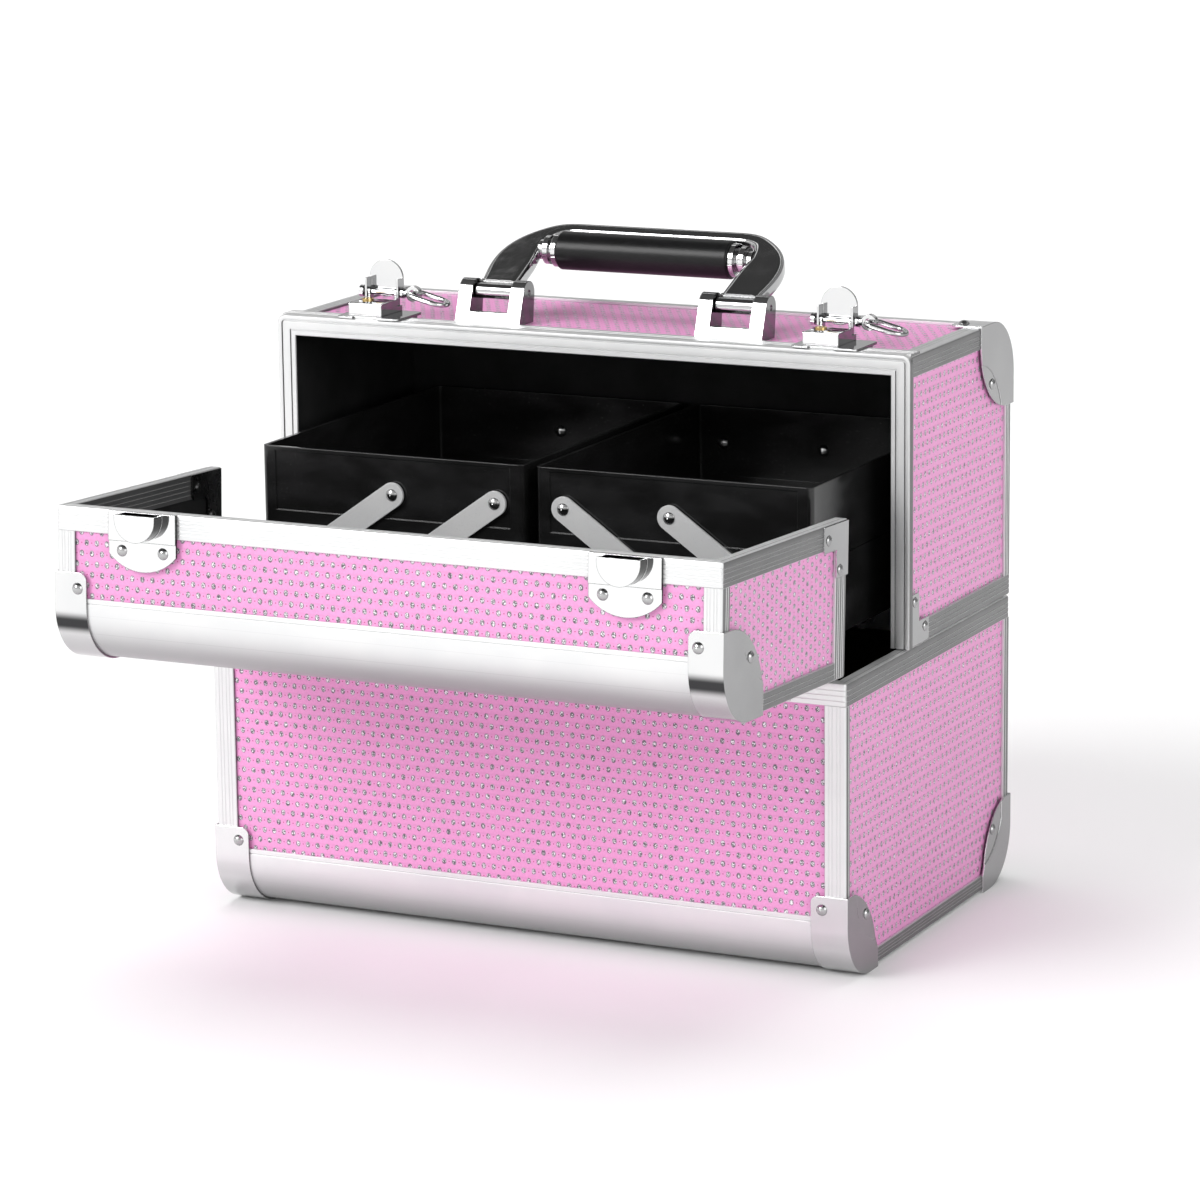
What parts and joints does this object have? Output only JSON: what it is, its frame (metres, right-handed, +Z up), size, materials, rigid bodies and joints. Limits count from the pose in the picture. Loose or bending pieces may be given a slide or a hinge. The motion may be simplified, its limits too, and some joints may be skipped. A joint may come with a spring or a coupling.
{
  "type": "makeup train case",
  "caption": "Box-shaped metal-edged makeup case with a split lid, cantilever trays, carrying handle and two key latches.",
  "frame": {"origin": "middle of the underside, on the surface the case stands on", "axes": "+X to the right, +Y to the rear, +Z up; the front lid swings down towards -Y"},
  "size_m": [0.3648, 0.3855, 0.3491],
  "materials": {
    "satin_aluminium": "satin, finely ribbed",
    "chrome_plate": "polished",
    "glitter_panel": "gloss pink sheet with rows of silver glitter dots",
    "velvet_lining": "matte nap",
    "black_tray": "gloss",
    "black_grip": "satin",
    "brass_key": "polished"
  },
  "bodies": {
    "case": {"base_panel": "glitter_panel", "box_wall_panels": "glitter_panel", "box_rim_frame": "satin_aluminium", "box_frame_rails": "satin_aluminium", "box_edge_profiles": "satin_aluminium", "box_corner_caps": "chrome_plate", "box_lining": "velvet_lining", "box_rivets": "chrome_plate", "arm_base_rails": "satin_aluminium", "box_hinge_leaves": "chrome_plate", "hinge_pins": "chrome_plate"},
    "front_lid": {"front_lid_panels": "glitter_panel", "front_lid_frame": "satin_aluminium", "front_lid_edge_profile": "satin_aluminium", "front_lid_caps": "chrome_plate", "front_lid_brackets": "chrome_plate", "front_lid_lining": "velvet_lining", "front_lid_rivets": "chrome_plate", "lid_catches": "chrome_plate", "front_hinge_lid_leaf": "chrome_plate"},
    "rear_lid": {"rear_lid_panels": "glitter_panel", "rear_lid_front_frame": "satin_aluminium", "rear_lid_frame": "satin_aluminium", "rear_lid_edge_profile": "satin_aluminium", "rear_lid_caps": "chrome_plate", "rear_lid_brackets": "chrome_plate", "rear_lid_lining": "velvet_lining", "rear_lid_rivets": "chrome_plate", "rear_hinge_lid_leaf": "chrome_plate", "handle_brackets": "chrome_plate", "handle_pins": "chrome_plate", "latch_bases": "chrome_plate", "lock_bodies": "chrome_plate", "lever_axles": "chrome_plate"},
    "handle": {"handle_bail": "chrome_plate", "grip_core": "chrome_plate", "handle_grip": "black_grip"},
    "latch_lever_left": {"latch_lever_left": "chrome_plate"},
    "key_cylinder_left": {"key_cylinder_left": "brass_key"},
    "strap_ring_left": {"strap_ring_left": "chrome_plate"},
    "latch_lever_right": {"latch_lever_right": "chrome_plate"},
    "key_cylinder_right": {"key_cylinder_right": "brass_key"},
    "strap_ring_right": {"strap_ring_right": "chrome_plate"},
    "tray_lower_left": {"tray_lower_left": "black_tray", "tray_rivets_lower_left": "chrome_plate"},
    "arms_lower_left_outer": {"arms_lower_left_outer": "satin_aluminium"},
    "arms_lower_left_inner": {"arms_lower_left_inner": "satin_aluminium"},
    "tray_upper_left": {"tray_upper_left": "black_tray", "tray_rivets_upper_left": "chrome_plate"},
    "arms_upper_left_outer": {"arms_upper_left_outer": "satin_aluminium"},
    "arms_upper_left_inner": {"arms_upper_left_inner": "satin_aluminium"},
    "tray_lower_right": {"tray_lower_right": "black_tray", "tray_rivets_lower_right": "chrome_plate"},
    "arms_lower_right_outer": {"arms_lower_right_outer": "satin_aluminium"},
    "arms_lower_right_inner": {"arms_lower_right_inner": "satin_aluminium"},
    "tray_upper_right": {"tray_upper_right": "black_tray", "tray_rivets_upper_right": "chrome_plate"},
    "arms_upper_right_outer": {"arms_upper_right_outer": "satin_aluminium"},
    "arms_upper_right_inner": {"arms_upper_right_inner": "satin_aluminium"}
  },
  "joints": [
    {"name": "front_lid_hinge", "type": "hinge", "parent": "case", "child": "front_lid", "pos_m": [0, -0.1147, 0.1569], "axis": [1, 0, 0], "range_deg": [-87.4, 0]},
    {"name": "rear_lid_hinge", "type": "hinge", "parent": "case", "child": "rear_lid", "pos_m": [0, 0.1147, 0.1551], "axis": [-1, 0, 0], "range_deg": [0, 95]},
    {"name": "handle_pivot", "type": "hinge", "parent": "rear_lid", "child": "handle", "pos_m": [0, 0.0055, 0.3195], "axis": [1, 0, 0], "range_deg": [0, 124]},
    {"name": "latch_lever_left_pivot", "type": "hinge", "parent": "rear_lid", "child": "latch_lever_left", "pos_m": [-0.1305, -0.007, 0.3175], "axis": [1, 0, 0], "range_deg": [0, 85]},
    {"name": "key_left_turn", "type": "hinge", "parent": "rear_lid", "child": "key_cylinder_left", "pos_m": [-0.1357, -0.0155, 0.312], "axis": [0, 0, 1], "range_deg": [0, 90]},
    {"name": "strap_ring_left_swing", "type": "hinge", "parent": "rear_lid", "child": "strap_ring_left", "pos_m": [-0.1125, -0.007, 0.3175], "axis": [0, -1, 0], "range_deg": [0, 100]},
    {"name": "latch_lever_right_pivot", "type": "hinge", "parent": "rear_lid", "child": "latch_lever_right", "pos_m": [0.1305, -0.007, 0.3175], "axis": [1, 0, 0], "range_deg": [0, 85]},
    {"name": "key_right_turn", "type": "hinge", "parent": "rear_lid", "child": "key_cylinder_right", "pos_m": [0.1253, -0.0155, 0.312], "axis": [0, 0, 1], "range_deg": [0, 90]},
    {"name": "strap_ring_right_swing", "type": "hinge", "parent": "rear_lid", "child": "strap_ring_right", "pos_m": [0.1485, -0.007, 0.3175], "axis": [0, -1, 0], "range_deg": [0, 100]},
    {"name": "arms_lower_left_outer_swing", "type": "hinge", "parent": "case", "child": "arms_lower_left_outer", "pos_m": [-0.15798, 0, 0.1376], "axis": [0, -1, 0], "range_deg": [0, 8.5]},
    {"name": "arms_lower_left_inner_swing", "type": "hinge", "parent": "case", "child": "arms_lower_left_inner", "pos_m": [-0.09898, 0, 0.1376], "axis": [0, -1, 0], "range_deg": [0, 8.5]},
    {"name": "tray_lower_left_level", "type": "hinge", "parent": "arms_lower_left_outer", "child": "tray_lower_left", "pos_m": [-0.1, 0, 0.1782], "axis": [0, -1, 0], "range_deg": [-8.5, 0]},
    {"name": "arms_upper_left_outer_swing", "type": "hinge", "parent": "tray_lower_left", "child": "arms_upper_left_outer", "pos_m": [-0.13648, 0, 0.1874], "axis": [0, -1, 0], "range_deg": [0, 8.5]},
    {"name": "arms_upper_left_inner_swing", "type": "hinge", "parent": "tray_lower_left", "child": "arms_upper_left_inner", "pos_m": [-0.07748, 0, 0.1874], "axis": [0, -1, 0], "range_deg": [0, 8.5]},
    {"name": "tray_upper_left_level", "type": "hinge", "parent": "arms_upper_left_outer", "child": "tray_upper_left", "pos_m": [-0.0785, 0, 0.228], "axis": [0, -1, 0], "range_deg": [-8.5, 0]},
    {"name": "arms_lower_right_outer_swing", "type": "hinge", "parent": "case", "child": "arms_lower_right_outer", "pos_m": [0.15798, 0, 0.1376], "axis": [0, 1, 0], "range_deg": [0, 8.5]},
    {"name": "arms_lower_right_inner_swing", "type": "hinge", "parent": "case", "child": "arms_lower_right_inner", "pos_m": [0.09898, 0, 0.1376], "axis": [0, 1, 0], "range_deg": [0, 8.5]},
    {"name": "tray_lower_right_level", "type": "hinge", "parent": "arms_lower_right_outer", "child": "tray_lower_right", "pos_m": [0.1, 0, 0.1782], "axis": [0, 1, 0], "range_deg": [-8.5, 0]},
    {"name": "arms_upper_right_outer_swing", "type": "hinge", "parent": "tray_lower_right", "child": "arms_upper_right_outer", "pos_m": [0.13648, 0, 0.1874], "axis": [0, 1, 0], "range_deg": [0, 8.5]},
    {"name": "arms_upper_right_inner_swing", "type": "hinge", "parent": "tray_lower_right", "child": "arms_upper_right_inner", "pos_m": [0.07748, 0, 0.1874], "axis": [0, 1, 0], "range_deg": [0, 8.5]},
    {"name": "tray_upper_right_level", "type": "hinge", "parent": "arms_upper_right_outer", "child": "tray_upper_right", "pos_m": [0.0785, 0, 0.228], "axis": [0, 1, 0], "range_deg": [-8.5, 0]}
  ],
  "couplings": [
    {"joint": "tray_lower_left_level", "follows": "arms_lower_left_outer_swing", "ratio": -1},
    {"joint": "arms_lower_left_inner_swing", "follows": "arms_lower_left_outer_swing", "ratio": 1},
    {"joint": "tray_upper_left_level", "follows": "arms_upper_left_outer_swing", "ratio": -1},
    {"joint": "arms_upper_left_inner_swing", "follows": "arms_upper_left_outer_swing", "ratio": 1},
    {"joint": "tray_lower_right_level", "follows": "arms_lower_right_outer_swing", "ratio": -1},
    {"joint": "arms_lower_right_inner_swing", "follows": "arms_lower_right_outer_swing", "ratio": 1},
    {"joint": "tray_upper_right_level", "follows": "arms_upper_right_outer_swing", "ratio": -1},
    {"joint": "arms_upper_right_inner_swing", "follows": "arms_upper_right_outer_swing", "ratio": 1}
  ]
}
